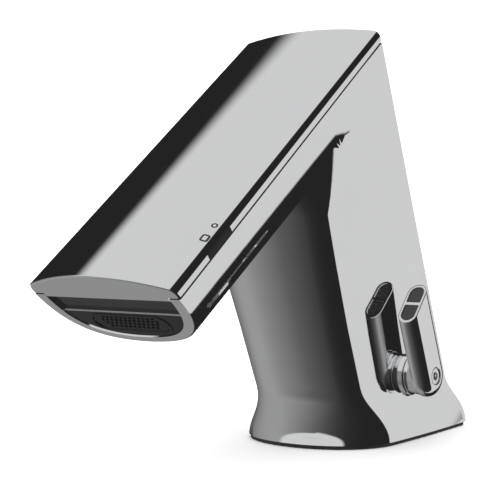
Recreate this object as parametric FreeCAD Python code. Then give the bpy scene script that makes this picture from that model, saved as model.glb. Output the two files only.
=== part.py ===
"""Sensor tap with a side mixing lever, for one deck hole group on a washbasin.

Frame: +X is the lever side, -Y is the way the spout points, +Z is up.
The origin lies on the underside of the base gasket, between the two stud holes.
The spout is drawn in its own frame (u, s, v): u along X, s up the seam line from
the spout end, v square to the seam, with v = 0 on the seam between crown and body.
"""
import FreeCAD
import Part
import math
import os

Vec = FreeCAD.Vector
X_AXIS = Vec(1, 0, 0)
Y_AXIS = Vec(0, 1, 0)
Z_AXIS = Vec(0, 0, 1)

# ---- spout and crown -------------------------------------------------------
crown_half_width = 28.0
seam_front_y = -133.4       # where the seam line meets the spout end
seam_front_z = 54.6
seam_angle = 37.7           # slope of the seam line, degrees
face_tilt = 14.5            # how far the end face leans in from square to the seam
crown_top_radius_front = 78.0   # the crown's broad top, flatter towards the back
crown_top_radius_back = 150.0
crown_edge_radius = 2.8
crown_side_front = 1.8      # height of the crown's upright side at the spout end
crown_side_back = 1.3
crown_wall = 2.2
crown_nose_wall = 4.0
crown_lip_drop = 1.2        # the crown's front lip hangs this far below the seam
seam_gap = 0.6              # crown and body are this far apart along the seam
hull_depth_front = 22.3     # depth of the spout below the seam at its end
hull_depth_back = 28.6
hull_fullness = 2.5         # exponent of the spout's curved underside
seam_length = 133.2         # from the end face to the back plane
hull_length = 150.0         # drawn past the back plane and then trimmed
hull_merge = 100.0          # the hull narrows into the column from here
hull_merge_fullness = 1.5
loft_spare = 12.0           # what the spout is drawn longer before it is trimmed
beyond = 240.0              # trimming blocks run this far, past the whole tap
crown_bevel = 0.8           # chamfer along the crown's front edge
rim_bevel = 0.4             # chamfer round the outer edge of the spout's rim

# ---- column and foot -------------------------------------------------------
foot_half_width = 28.0
foot_front_y = -43.4
foot_back_y = 38.5
foot_back_half_width = 24.8
foot_tangent_y = -19.0
waist_z = 16.0
waist_half_width = 21.2
waist_tangent_y = -27.4
waist_front_y = -39.2
flare_top_z = 20.0          # the foot's flare has run out into the column here
flare_rise = 1.9            # exponents of the flare: how soon it leaves the ground's outline
flare_fade = 2.6            # and how softly it runs out
flare_sections = 8
column_lean = 0.418         # forward travel of the column front per unit of height
column_top_z = 146.0
column_half_widths = [      # height and half width of the column's front corners
    (40.0, 21.7), (60.0, 22.7), (78.0, 23.9), (88.0, 24.9), (98.0, 25.9),
    (108.0, 26.8), (124.0, 27.9), (146.0, 28.6)]
crotch_z = 78.0             # the front corners start to open into the spout here
back_foot_y = 36.9          # the flat back plane, carried down to z = 0
back_lean = 0.477
back_waist_half_width = 21.6
column_bow = 1.1            # how much fuller than straight the sides are at the waist
foot_bow = 0.6
column_fullness = 2.3       # exponents of the rounded front
foot_fullness = 2.1
back_spare = 1.0            # drawn past the back plane and then trimmed

# ---- cavities in the body --------------------------------------------------
nose_half_width = 24.0      # opening in the spout end
nose_depth = 19.9
nose_fullness = 2.6
nose_length = 17.0          # how far the opening runs up the spout
nose_clearance = 0.15
web_wall = 2.0              # wall between the nose opening and the pocket
pocket_half_width = 21.5
pocket_depth = 10.0
pocket_end = 119.0
well_half_width = 13.2      # deep end of the pocket, round the valve
well_start = 77.0
well_floor_gap = 0.2        # between the valve and the floor of the deep end
core_half_width = 14.0      # hollow inside the column, under the deep end
core_low_z = 36.0
core_low_y = (-38.0, 8.0)
core_high_z = 88.0
core_high_y = (-57.0, -14.0)

# ---- outlet and sensor -----------------------------------------------------
window_recess = 2.2         # depth of the glass behind the end face
window_thick = 2.2
window_top = 1.6            # down the end face from the seam
window_bottom = 8.8
panel_recess = 0.6          # depth of the black outlet panel behind the end face
panel_thick = 5.0
panel_rim_proud = 0.35
panel_ledge = 0.35          # chamfer along the panel's top edge, under the window
outlet_centre_drop = 14.2   # centre of the spray, down the end face
outlet_half_length = 14.2
outlet_half_height = 3.5
outlet_fit = 0.1
outlet_rim = 0.8
spray_hole_flats = 1.2      # honeycomb holes, across the flats
spray_pitch = 1.75
spray_rows = 4
spray_edge = 2.3            # from the plate's end to the outermost hole centre
chamber_length = 7.0
sensor_length = 7.5
sensor_half_width = 17.0
lens_radius = 1.9
lens_spacing = 12.0
tube_drop = 15.2            # the outlet tube's axis below the seam
tube_radius = 3.2
tube_wall = 0.7
tube_clearance = 0.3

# ---- solenoid valve --------------------------------------------------------
valve_radius = 12.0
valve_start = 79.5
valve_length = 8.5
valve_chamber_radius = 9.0
diaphragm_thick = 1.5
solenoid_base_thick = 4.0
guide_radius = 4.0
plunger_radius = 3.0
running_clearance = 0.06
coil_length = 15.0
coil_radius = 10.6
plunger_length = 13.0
spring_wall = 0.5
guide_cap = 1.6

# ---- electronics -----------------------------------------------------------
battery_half_width = 17.0
battery_length = 36.0
battery_height = 12.4
battery_start = 22.0
bracket_thick = 1.0
board_half_width = 17.5
board_start = 60.5
board_length = 15.0
board_thick = 1.6
board_height = 6.0          # board underside above the pocket floor
board_post_radius = 1.8

# ---- mixing valve and lever ------------------------------------------------
pivot_y = -1.4
pivot_z = 22.3
bore_radius = 6.8           # side bore for the mixing cartridge
bore_inner_x = -13.0
spot_face_radius = 7.7
spot_face_x = 21.6          # flat seat for the hub on the body's side
sleeve_clearance = 0.05
sleeve_wall = 1.6
sleeve_floor = 3.0
sleeve_outer_x = 12.0
disc_thick = 2.4
disc_clearance = 0.06
spindle_flange = 3.0
spindle_radius = 3.0
ring_thick = 0.8
ring_inner_radius = 5.6
hub_radius = 7.2
hub_neck_radius = 6.5
collar_length = 2.2
collar_gap = 0.3
lever_inner_x = 26.9
lever_thick = 7.2
lever_half_width = 7.3
lever_edge_radius = 3.45
lever_lean = 21.9           # lever axis from upright, degrees
lever_cut_distance = 27.7   # from the pivot to the cut face along the lever
lever_cut_slope = 49.0      # slope of the cut face from level
insert_rim = 1.05
insert_bar = 1.3
insert_depth = 1.2
insert_proud = 0.1
screw_head_radius = 2.9
screw_head_depth = 2.0
screw_shank_radius = 1.5
screw_length = 9.0
screw_socket = 2.5          # across the flats
crown_screw_radius = 2.0
crown_screw_drop = 5.0
tab_half_width = 8.0
tab_thick = 3.6
tab_from_back = 10.8        # from the back plane, along the seam, to the tab
tab_drop = 8.5
tab_clearance = 0.25

# ---- base ------------------------------------------------------------------
gasket_thick = 1.2
gasket_inset = 0.6
stud_hole_radius = 3.4      # tapping size of an M8 stud
stud_hole_depth = 11.0
stud_front_y = -22.0
stud_back_y = 22.0
inlet_x = 10.5
inlet_y = -1.4
inlet_radius = 4.9          # threaded mouth for the supply hose
inlet_thread_depth = 5.0
check_radius = 4.6          # bore above the thread, for the filter and check valve
inlet_depth = 13.4
inlet_duct_radius = 2.2
port_clearance = 0.9        # from the ports to the edge of the gasket's opening
check_clearance = 0.05
check_length = 6.6
check_bore = 3.0
poppet_radius = 2.9
poppet_length = 2.2
poppet_seat = 1.0
filter_thick = 1.0
filter_hole_flats = 1.5     # honeycomb holes of the inlet filter
filter_pitch = 2.2
filter_gap = 0.2


# ---- helpers ---------------------------------------------------------------
def spout_frame(extra_tilt=0.0):
    """Placement of the spout frame, or of the end face's frame when tilted."""
    turn = FreeCAD.Rotation(X_AXIS, seam_angle + extra_tilt)
    return FreeCAD.Placement(Vec(0, seam_front_y, seam_front_z), turn)


def placed(shape, frame):
    """Copy of a shape moved by a placement, with the move worked into its geometry."""
    return shape.transformed(frame.toMatrix(), copy=True)


def in_spout(shape):
    return placed(shape, spout_frame())


def in_face(shape):
    return placed(shape, spout_frame(face_tilt))


def box(x0, x1, y0, y1, z0, z1):
    return Part.makeBox(x1 - x0, y1 - y0, z1 - z0, Vec(x0, y0, z0))


def rod(radius, start, end):
    """Cylinder between two points."""
    path = end - start
    return Part.makeCylinder(radius, path.Length, start, path)


def oval_half(half_width, depth, exponent, flip):
    """Half outline from (+half_width, 0) round to (-half_width, 0), as two Bezier quarters.

    The handles make each quarter pass through the superellipse of that exponent.
    flip is -1 for a curve that hangs below its ends and +1 for one above them.
    """
    handle = (8 * 2 ** (-1 / exponent) - 4) / 3
    quarters = []
    for side in (1, -1):
        wide, deep = side * half_width, flip * depth
        poles = [Vec(wide, 0, 0), Vec(wide, handle * deep, 0), Vec(handle * wide, deep, 0),
                 Vec(0, deep, 0)]
        curve = Part.BezierCurve()
        curve.setPoles(poles if side > 0 else poles[::-1])
        quarters.append(curve.toShape())
    return quarters


def moved_edges(edges, placement):
    return [edge.transformed(placement.toMatrix(), copy=True) for edge in edges]


def hull_wire(half_width, depth, exponent, s, top):
    """Closed section of the spout's hull at one s, in spout coordinates."""
    turn = FreeCAD.Rotation(X_AXIS, 90)
    curves = moved_edges(oval_half(half_width, depth, exponent, -1),
                         FreeCAD.Placement(Vec(0, s, 0), turn))
    right_low = Vec(half_width, s, 0)
    left_low = Vec(-half_width, s, 0)
    right_top = Vec(half_width, s, top)
    left_top = Vec(-half_width, s, top)
    edges = [Part.LineSegment(right_top, right_low).toShape()]
    edges += curves
    edges.append(Part.LineSegment(left_low, left_top).toShape())
    edges.append(Part.LineSegment(left_top, right_top).toShape())
    return Part.Wire(edges)


def crown_wire(s, inset, base):
    """Crown section at one s: upright sides, rounded edges and a broad top arc.

    The hollow inside, drawn with an inset, has its edges bevelled instead.
    """
    share = s / seam_length
    side = crown_side_front + (crown_side_back - crown_side_front) * share
    curvature = (1 - share) / crown_top_radius_front + share / crown_top_radius_back
    half = crown_half_width - inset
    edge = max(crown_edge_radius - inset, 0.6)
    broad = 1 / curvature - inset
    reach = math.asin((half - edge) / (broad - edge))
    turned = math.pi / 2 - reach
    low_centre = Vec(0, s, side + (edge - broad) * math.cos(reach))
    right_side = Vec(half, s, side)
    right_base = Vec(half, s, base)
    left_side = Vec(-half, s, side)
    left_base = Vec(-half, s, base)
    corners = [section_arc(Vec(half - edge, s, side), edge, 0, turned),
               section_arc(Vec(edge - half, s, side), edge, math.pi - turned, math.pi)]
    if inset:
        corners = [Part.LineSegment(corner.firstVertex().Point, corner.lastVertex().Point).toShape()
                   for corner in corners]
    edges = [
        Part.LineSegment(right_base, right_side).toShape(),
        corners[0],
        section_arc(low_centre, broad, turned, math.pi - turned),
        corners[1],
        Part.LineSegment(left_side, left_base).toShape(),
        Part.LineSegment(left_base, right_base).toShape(),
    ]
    return Part.Wire(edges)


def section_arc(centre, radius, start, end):
    """Round arc in the plane across the spout, as a Bezier curve of at most a quarter turn."""
    handle = 4 / 3 * math.tan((end - start) / 4)
    poles = []
    for angle, side in ((start, 1), (end, -1)):
        rim = Vec(math.cos(angle), 0, math.sin(angle))
        along = Vec(-math.sin(angle), 0, math.cos(angle))
        poles.append([centre + rim * radius, centre + (rim + along * (side * handle)) * radius])
    curve = Part.BezierCurve()
    curve.setPoles([poles[0][0], poles[0][1], poles[1][1], poles[1][0]])
    return curve.toShape()


def slab(depth0, depth1, up0, up1, half_width=beyond):
    """Block in the end face's frame: depth runs into the spout, up runs up the face."""
    return in_face(box(-half_width, half_width, depth0, depth1, up0, up1))


def ahead_of_face():
    """Everything in front of the spout's end face."""
    return slab(-beyond, 0.0, -beyond, beyond)


def face_edges(solid, low, high=beyond):
    """Edges of the spout's end face whose middles lie between two heights above the seam."""
    face_frame = spout_frame(face_tilt).inverse()
    seam_frame = spout_frame().inverse()
    found = []
    for edge in solid.Edges:
        points = edge.discretize(5)
        on_face = max(abs(face_frame.multVec(point).y) for point in points) < 0.001
        middle = seam_frame.multVec(points[2]).z
        if on_face and low < middle < high:
            found.append(edge)
    return found


def behind_back():
    """Everything behind the column's flat back plane."""
    lean = math.degrees(math.atan(back_lean))
    block = box(-beyond, beyond, 0, beyond, -beyond, beyond)
    turn = FreeCAD.Rotation(X_AXIS, lean)
    return placed(block, FreeCAD.Placement(Vec(0, back_foot_y, 0), turn))


# ---- body ------------------------------------------------------------------
def bowed_side(front, back, bow):
    """Side between two corners of a level section, fuller midway than a straight one by bow."""
    pull = X_AXIS * math.copysign(2 * bow, front.x)
    curve = Part.BezierCurve()
    curve.setPoles([back, (front + back) * 0.5 + pull, front])
    return curve.toShape()


def column_wire(z, half_width, tangent_y, front_y, back_half, back_y, exponent, bow):
    """Level section of the column: rounded front, gently bowed sides, flat back."""
    front = moved_edges(oval_half(half_width, tangent_y - front_y, exponent, -1),
                        FreeCAD.Placement(Vec(0, tangent_y, z), FreeCAD.Rotation()))
    right = Vec(half_width, tangent_y, z)
    left = Vec(-half_width, tangent_y, z)
    right_back = Vec(back_half, back_y, z)
    left_back = Vec(-back_half, back_y, z)
    edges = [bowed_side(right, right_back, bow)]
    edges += front
    edges.append(bowed_side(left, left_back, bow))
    edges.append(Part.LineSegment(left_back, right_back).toShape())
    return Part.Wire(edges)


def back_plane_y(z):
    return back_foot_y - back_lean * z


def foot_wire(z, inset=0.0):
    return column_wire(z, foot_half_width - inset, foot_tangent_y, foot_front_y + inset,
                       foot_back_half_width - inset, foot_back_y - inset, foot_fullness, foot_bow)


def column_section(z):
    """Half width, tangent, front, back half width, back and bow of the column at one height."""
    levels = [(waist_z, waist_half_width)] + column_half_widths
    half = levels[0][1]
    for (low, low_half), (high, high_half) in zip(levels, levels[1:]):
        if z > low:
            half = low_half + (high_half - low_half) * min(1.0, (z - low) / (high - low))
    share = max(0.0, z - waist_z) / (column_top_z - waist_z)
    above = max(0.0, z - crotch_z)
    straight = column_lean * (z - waist_z)
    back_half = back_waist_half_width + (crown_half_width + 0.5 - back_waist_half_width) * share
    return (half, waist_tangent_y - straight + 0.75 * above, waist_front_y - straight - 0.35 * above,
            back_half, back_plane_y(z), column_bow * (1 - share))


def foot():
    """Flared foot: the gasket's outline, which runs out smoothly into the column."""
    ground = (foot_half_width, foot_tangent_y, foot_front_y, foot_back_half_width, foot_back_y,
              foot_bow)
    wires = []
    for step in range(flare_sections + 1):
        height = step / flare_sections
        z = gasket_thick + (flare_top_z - gasket_thick) * height
        flare = (1 - height ** flare_rise) ** flare_fade
        half, tangent_y, front_y, back_half, back_y, bow = [
            upper + (lower - upper) * flare for upper, lower in zip(column_section(z), ground)]
        wires.append(column_wire(z, half, tangent_y, front_y, back_half, back_y,
                                 column_fullness + (foot_fullness - column_fullness) * flare, bow))
    return Part.makeLoft(wires, True, False)


def column():
    """Leaning column, which widens to the crown's width at the seam."""
    wires = []
    for z in [flare_top_z] + [level for level, _ in column_half_widths]:
        half, tangent_y, front_y, back_half, back_y, bow = column_section(z)
        wires.append(column_wire(z, half, tangent_y, front_y, back_half, back_y + back_spare,
                                 column_fullness, bow))
    return Part.makeLoft(wires, True, True)


def hull():
    """The spout below the seam, deeper towards the column."""
    depth_slope = (hull_depth_back - hull_depth_front) / hull_length
    wires = []
    for s, fullness in ((-loft_spare, hull_fullness), (hull_merge, hull_fullness),
                        (hull_length, hull_merge_fullness)):
        wires.append(hull_wire(crown_half_width, hull_depth_front + depth_slope * s, fullness, s, 2.0))
    return in_spout(Part.makeLoft(wires, True, True))


def nose_prism(clearance=0.0):
    """The opening in the spout end, run up the spout."""
    section = hull_wire(nose_half_width - clearance, nose_depth - clearance, nose_fullness, -14.0, 3.0)
    face = Part.Face(section)
    return in_spout(face.extrude(Vec(0, nose_length + 14.0, 0)))


def tube_axis_point(s):
    return spout_frame().multVec(Vec(0, s, -tube_drop))


def body_blank():
    above_seam = in_spout(box(-beyond, beyond, -beyond, beyond, -seam_gap / 2, beyond))
    blank = foot().fuse([column(), hull()])
    blank = blank.cut([above_seam, ahead_of_face()])
    blank = blank.removeSplitter()
    blank = blank.makeChamfer(rim_bevel, face_edges(blank, -beyond, -seam_gap / 2 - 0.01))
    upper_back = behind_back().common(box(-beyond, beyond, -beyond, beyond, flare_top_z, beyond))
    return blank.cut(upper_back).removeSplitter()


def riser_ends():
    """The riser runs from the cartridge bore up to the valve's lower port."""
    low = Vec(0, pivot_y, pivot_z)
    high = spout_frame().multVec(Vec(0, valve_start + valve_length / 2 - 1.0, -tube_drop))
    return low, high


def inlet_places():
    return {"hot": -inlet_x, "cold": inlet_x}


def column_core():
    """Hollow that follows the column's lean below the deep end of the pocket."""
    wires = []
    for z, (front, back) in ((core_low_z, core_low_y), (core_high_z, core_high_y)):
        corners = [Vec(x, y, z) for x, y in ((-core_half_width, front), (core_half_width, front),
                                             (core_half_width, back), (-core_half_width, back))]
        wires.append(Part.makePolygon(corners + corners[:1]))
    return Part.makeLoft(wires, True, True)


def body_shell():
    shell = body_blank()
    pocket_start = nose_length + web_wall
    pocket = box(-pocket_half_width, pocket_half_width, pocket_start, pocket_end, -pocket_depth, 5)
    well_floor = -tube_drop - valve_radius - well_floor_gap
    well = box(-well_half_width, well_half_width, well_start, pocket_end, well_floor, 5)
    tab_slot = box(-tab_half_width - tab_clearance, tab_half_width + tab_clearance,
                   tab_place() - tab_clearance, tab_place() + tab_thick + tab_clearance,
                   -tab_drop - 1.0, 5)
    wire_slot = box(-5, 5, nose_length - 2, pocket_start + 2, -6.5, -3.5)
    tube_bore = rod(tube_radius + tube_clearance, Vec(0, nose_length - 2, -tube_drop),
                    Vec(0, well_start + 2, -tube_drop))
    screw_bore = rod(crown_screw_radius + 0.05, Vec(0, tab_place(), -crown_screw_drop),
                     Vec(0, tab_place() + 30, -crown_screw_drop))
    cuts = [nose_prism()] + [in_spout(shape) for shape in
                             (pocket, well, tab_slot, wire_slot, tube_bore, screw_bore)]
    cuts.append(column_core())
    low, high = riser_ends()
    cuts.append(rod(tube_radius + tube_clearance, low, high))
    cuts.append(rod(bore_radius, Vec(bore_inner_x, pivot_y, pivot_z), Vec(60, pivot_y, pivot_z)))
    cuts.append(rod(spot_face_radius, Vec(spot_face_x, pivot_y, pivot_z), Vec(60, pivot_y, pivot_z)))
    for x in inlet_places().values():
        cuts.append(rod(inlet_radius, Vec(x, inlet_y, -5),
                        Vec(x, inlet_y, gasket_thick + inlet_thread_depth)))
        cuts.append(rod(check_radius, Vec(x, inlet_y, 0), Vec(x, inlet_y, gasket_thick + inlet_depth)))
        cuts.append(rod(inlet_duct_radius, Vec(x, inlet_y, 5), Vec(x, inlet_y, pivot_z)))
    for y in (stud_front_y, stud_back_y):
        cuts.append(rod(stud_hole_radius, Vec(0, y, -5), Vec(0, y, gasket_thick + stud_hole_depth)))
    shell = shell.cut(cuts)
    posts = []
    for u in (-board_half_width + 3, board_half_width - 3):
        for s in (board_start + 3, board_start + board_length - 3):
            posts.append(in_spout(rod(board_post_radius, Vec(u, s, -pocket_depth - 0.5),
                                      Vec(u, s, -pocket_depth + board_height))))
    return shell.fuse(posts).removeSplitter()


def base_gasket():
    """Flat ring under the foot; one opening clears both studs and both supply hoses."""
    outline = Part.Face(foot_wire(0.0, gasket_inset))
    gasket = outline.extrude(Vec(0, 0, gasket_thick))
    half = inlet_x + inlet_radius + port_clearance
    spare = stud_hole_radius + port_clearance
    opening = box(-half, half, stud_front_y - spare, stud_back_y + spare, -1, 5)
    return gasket.cut(opening)


# ---- crown -----------------------------------------------------------------
def tab_place():
    """Where the crown's tab starts along the seam."""
    return seam_length - tab_from_back


def crown_solid(inset, base):
    wires = [crown_wire(s, inset, base) for s in (-loft_spare, seam_length / 2, hull_length)]
    return in_spout(Part.makeLoft(wires, True, True))


def crown_cover():
    base = seam_gap / 2
    crown = crown_solid(0.0, base).cut([ahead_of_face(), behind_back()])
    crown = crown.makeChamfer(crown_bevel, face_edges(crown, base + 0.01))
    hollow = crown_solid(crown_wall, base - 3.0)
    hollow = hollow.cut(slab(-beyond, crown_nose_wall, -beyond, beyond))
    hollow = hollow.cut(placed(behind_back(), FreeCAD.Placement(Vec(0, -crown_nose_wall, 0),
                                                               FreeCAD.Rotation())))
    crown = crown.cut(hollow)
    lip = nose_prism(nose_clearance).common(slab(0, crown_nose_wall, -crown_lip_drop, 2.0))
    tab_top = 3.0
    tab = in_spout(box(-tab_half_width, tab_half_width, tab_place(), tab_place() + tab_thick,
                       -tab_drop, tab_top))
    bridge = in_spout(box(-tab_half_width, tab_half_width, tab_place(), seam_length + tab_thick,
                          base, tab_top)).cut(behind_back())
    return crown.fuse([lip, tab, bridge]).removeSplitter()


def crown_gasket():
    """Flat seal round the electronics pocket, set in from the seam."""
    start = nose_length + 0.6
    end = tab_place() - 1.0
    half = pocket_half_width + 2.0
    ring = box(-half, half, start, end, -seam_gap / 2, seam_gap / 2)
    hole = box(-pocket_half_width, pocket_half_width, start + 1.2, end - 1.8, -1, 1)
    return in_spout(ring.cut(hole))


def crown_screw():
    """Set screw through the back of the body that clamps the crown's tab."""
    start = tab_place() + tab_thick
    length = 5.0
    screw = rod(crown_screw_radius, Vec(0, start, -crown_screw_drop),
                Vec(0, start + length, -crown_screw_drop))
    socket = hexagon(2.0, 1.6)
    turn = FreeCAD.Rotation(X_AXIS, 90)
    socket = placed(socket, FreeCAD.Placement(Vec(0, start + length, -crown_screw_drop), turn))
    return in_spout(screw.cut(socket))


def hexagon(across_flats, depth):
    """Hexagonal prism standing on z = 0."""
    radius = across_flats / 2 / math.cos(math.pi / 6)
    corners = [Vec(radius * math.cos(math.pi / 3 * k), radius * math.sin(math.pi / 3 * k), 0)
               for k in range(6)]
    wire = Part.makePolygon(corners + corners[:1])
    return Part.Face(wire).extrude(Vec(0, 0, depth))


# ---- spout end -------------------------------------------------------------
def stadium(half_length, half_height, depth0, depth1):
    """Round-ended slot in the end face's frame, centred on the spray."""
    reach = half_length - half_height
    flat = box(-reach, reach, depth0, depth1, -half_height, half_height)
    ends = [Part.makeCylinder(half_height, depth1 - depth0, Vec(side * reach, depth0, 0), Y_AXIS)
            for side in (-1, 1)]
    solid = flat.fuse(ends).removeSplitter()
    solid.translate(Vec(0, 0, -outlet_centre_drop))
    return in_face(solid)


def sensor_window():
    prism = nose_prism(nose_clearance)
    return prism.common(slab(window_recess, window_recess + window_thick, -window_bottom, -window_top))


def sensor_module():
    front = window_recess + window_thick
    module = slab(front, front + sensor_length, -window_bottom + 0.2, -window_top - 0.4,
                  sensor_half_width)
    middle = -(window_top + window_bottom) / 2
    lenses = [in_face(Part.makeCylinder(lens_radius, 1.5, Vec(u, front, middle), Y_AXIS))
              for u in (-lens_spacing / 2, lens_spacing / 2)]
    return module.cut(lenses)


def outlet_panel():
    """Black panel below the window; its top edge stands ahead of the glass as a ledge."""
    prism = nose_prism(nose_clearance)
    top = -window_bottom
    panel = prism.common(slab(panel_recess, panel_recess + panel_thick, -40.0, top))
    rim = stadium(outlet_half_length + outlet_rim, outlet_half_height + outlet_rim,
                  panel_recess - panel_rim_proud, panel_recess + 0.5)
    opening = stadium(outlet_half_length, outlet_half_height, panel_recess - 2, panel_recess + 10)
    panel = panel.fuse(rim).cut(opening).removeSplitter()
    face_frame = spout_frame(face_tilt).inverse()

    def on_ledge(point):
        local = face_frame.multVec(point)
        return abs(local.y - panel_recess) < 0.001 and abs(local.z - top) < 0.001

    ledge = [edge for edge in panel.Edges if all(on_ledge(point) for point in edge.discretize(3))]
    return panel.makeChamfer(panel_ledge, ledge)


def spray_plate():
    """Perforated outlet: staggered rows of small holes in a round-ended plate."""
    front = panel_recess + 0.2
    back = panel_recess + panel_thick
    plate = stadium(outlet_half_length - outlet_fit, outlet_half_height - outlet_fit, front, back)
    relief = stadium(outlet_half_length - 1.6, outlet_half_height - 1.1, front + 1.0, back + 1)
    plate = plate.cut(relief)
    row_step = spray_pitch * math.sqrt(3) / 2
    hole = hexagon(spray_hole_flats, back - front + 2.0)
    across = FreeCAD.Rotation(X_AXIS, -90)
    holes = []
    for row in range(spray_rows):
        up = (row - (spray_rows - 1) / 2) * row_step
        offset = spray_pitch / 2 if row % 2 else 0.0
        count = int((outlet_half_length - spray_edge - abs(up) - offset) / spray_pitch)
        places = [offset + k * spray_pitch for k in range(count + 1)]
        mirrored = [-place for place in places if place > 0.01]
        for u in places + mirrored:
            base = Vec(u, front - 1, up - outlet_centre_drop)
            holes.append(placed(hole, FreeCAD.Placement(base, across)))
    return plate.cut(in_face(Part.makeCompound(holes)))


def spray_chamber():
    """Block behind the panel that spreads the water over the spray plate."""
    front = panel_recess + panel_thick
    prism = nose_prism(nose_clearance)
    block = prism.common(slab(front, front + chamber_length, -40.0, -window_bottom - 0.3))
    hollow = stadium(outlet_half_length - 2.0, outlet_half_height - 1.2, front - 1, front + 3.0)
    start = tube_axis_point(2.0)
    duct = rod(tube_radius - tube_wall, start, tube_axis_point(nose_length + 5))
    socket = rod(tube_radius + 0.05, tube_axis_point(chamber_seat()), tube_axis_point(nose_length + 5))
    return block.cut([hollow, duct, socket])


def chamber_seat():
    """How far up the spout the outlet tube's end sits."""
    return 12.0


def outlet_tube():
    start = tube_axis_point(chamber_seat())
    end = tube_axis_point(valve_start - 1.8)
    bore = tube_radius - tube_wall
    return rod(tube_radius, start, end).cut(rod(bore, start, end))


# ---- solenoid valve --------------------------------------------------------
def axial(radius, s0, s1):
    """Disc or rod on the valve's axis, which is also the outlet tube's."""
    return in_spout(rod(radius, Vec(0, s0, -tube_drop), Vec(0, s1, -tube_drop)))


def valve_stations():
    """Places along the seam of each piece of the valve, from the spout side."""
    seat_end = valve_start + valve_length
    base_start = seat_end + diaphragm_thick
    coil_start = base_start + solenoid_base_thick
    cap_end = coil_start + coil_length + 4.0
    return seat_end, base_start, coil_start, cap_end


def valve_body():
    seat_end = valve_stations()[0]
    bore = tube_radius - tube_wall
    body = axial(valve_radius, valve_start, seat_end)
    spout_boss = axial(tube_radius + 1.6, valve_start - 1.8, valve_start)
    chamber = axial(valve_chamber_radius, seat_end - 3.0, seat_end)
    seat = axial(bore + 1.2, seat_end - 3.0, seat_end - 0.3)
    duct = axial(bore, valve_start - 5, seat_end)
    low, high = riser_ends()
    path = (low - high).normalize()
    port = rod(bore, high + path * 5.5, high + path * 30)
    shape = body.fuse(spout_boss).cut(chamber).fuse(seat).cut([duct, port])
    return shape.removeSplitter()


def riser_tube():
    """Carries mixed water from the cartridge up to the valve."""
    low, high = riser_ends()
    path = (low - high).normalize()
    bore = tube_radius - tube_wall
    start = high + path * (valve_radius + 1.4)
    end = low - path * (bore_radius + 0.9)
    return rod(tube_radius, start, end).cut(rod(bore, start, end))


def diaphragm():
    seat_end = valve_stations()[0]
    return axial(valve_radius - 1.0, seat_end, seat_end + diaphragm_thick)


def solenoid_base():
    _, base_start, coil_start, cap_end = valve_stations()
    flange = axial(valve_radius, base_start, coil_start)
    guide = axial(guide_radius, coil_start, cap_end)
    bore = axial(plunger_radius + running_clearance, base_start + 1.0, cap_end - guide_cap)
    return flange.fuse(guide).cut(bore).removeSplitter()


def solenoid_coil():
    coil_start = valve_stations()[2]
    coil = axial(coil_radius, coil_start, coil_start + coil_length)
    return coil.cut(axial(guide_radius + 0.1, coil_start - 1, coil_start + coil_length + 1))


def plunger_start():
    return valve_stations()[1] + 1.2


def solenoid_plunger():
    start = plunger_start()
    return axial(plunger_radius, start, start + plunger_length)


def plunger_spring():
    start = plunger_start() + plunger_length
    end = valve_stations()[3] - guide_cap
    spring = axial(plunger_radius - 0.4, start, end)
    return spring.cut(axial(plunger_radius - 0.4 - spring_wall, start, end))


# ---- electronics -----------------------------------------------------------
def battery():
    block = box(-battery_half_width, battery_half_width, battery_start,
                battery_start + battery_length, -pocket_depth + bracket_thick,
                -pocket_depth + bracket_thick + battery_height)
    upright = [edge for edge in block.Edges
               if abs(edge.Vertexes[0].Point.z - edge.Vertexes[1].Point.z) > 1]
    return in_spout(block.makeFillet(4.0, upright))


def battery_bracket():
    """Sheet tray under the battery with a lip at each end."""
    half = battery_half_width
    floor = -pocket_depth
    tray = box(-half, half, battery_start - bracket_thick, battery_start + battery_length + bracket_thick,
               floor, floor + bracket_thick)
    lips = [box(-half + 4, half - 4, battery_start - bracket_thick, battery_start, floor, floor + 6),
            box(-half + 4, half - 4, battery_start + battery_length,
                battery_start + battery_length + bracket_thick, floor, floor + 6)]
    return in_spout(tray.fuse(lips).removeSplitter())


def control_board():
    low = -pocket_depth + board_height
    board = box(-board_half_width, board_half_width, board_start, board_start + board_length,
                low, low + board_thick)
    plug = box(-9, -1, board_start + 2, board_start + 8, low + board_thick, low + board_thick + 3.5)
    chip = box(4, 12, board_start + 4, board_start + 11, low + board_thick, low + board_thick + 1.2)
    return in_spout(board.fuse([plug, chip]).removeSplitter())


# ---- mixing cartridge ------------------------------------------------------
def cross(radius, x0, x1):
    """Disc or rod on the lever's axis."""
    return rod(radius, Vec(x0, pivot_y, pivot_z), Vec(x1, pivot_y, pivot_z))


def disc_stations():
    floor = bore_inner_x + sleeve_floor
    fixed_end = floor + disc_thick
    moving_end = fixed_end + disc_thick
    return floor, fixed_end, moving_end


def cartridge_sleeve():
    floor = disc_stations()[0]
    outer = cross(bore_radius - sleeve_clearance, bore_inner_x, sleeve_outer_x)
    inner = cross(bore_radius - sleeve_clearance - sleeve_wall, floor, sleeve_outer_x)
    ports = [rod(inlet_duct_radius, Vec(x, inlet_y, 0), Vec(x, inlet_y, pivot_z))
             for x in inlet_places().values()]
    low, high = riser_ends()
    outlet = rod(tube_radius - tube_wall, low, high)
    return outer.cut([inner, outlet] + ports)


def disc_radius():
    return bore_radius - sleeve_clearance - sleeve_wall - disc_clearance


def kidney_ports(x0, x1, spread):
    """Two round water ways through a ceramic disc."""
    ports = []
    for side in (-1, 1):
        centre_y = pivot_y + side * spread
        ports.append(rod(1.1, Vec(x0 - 1, centre_y, pivot_z - 1.2), Vec(x1 + 1, centre_y, pivot_z - 1.2)))
    return ports


def fixed_disc():
    floor, fixed_end, _ = disc_stations()
    return cross(disc_radius(), floor, fixed_end).cut(kidney_ports(floor, fixed_end, 2.2))


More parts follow.
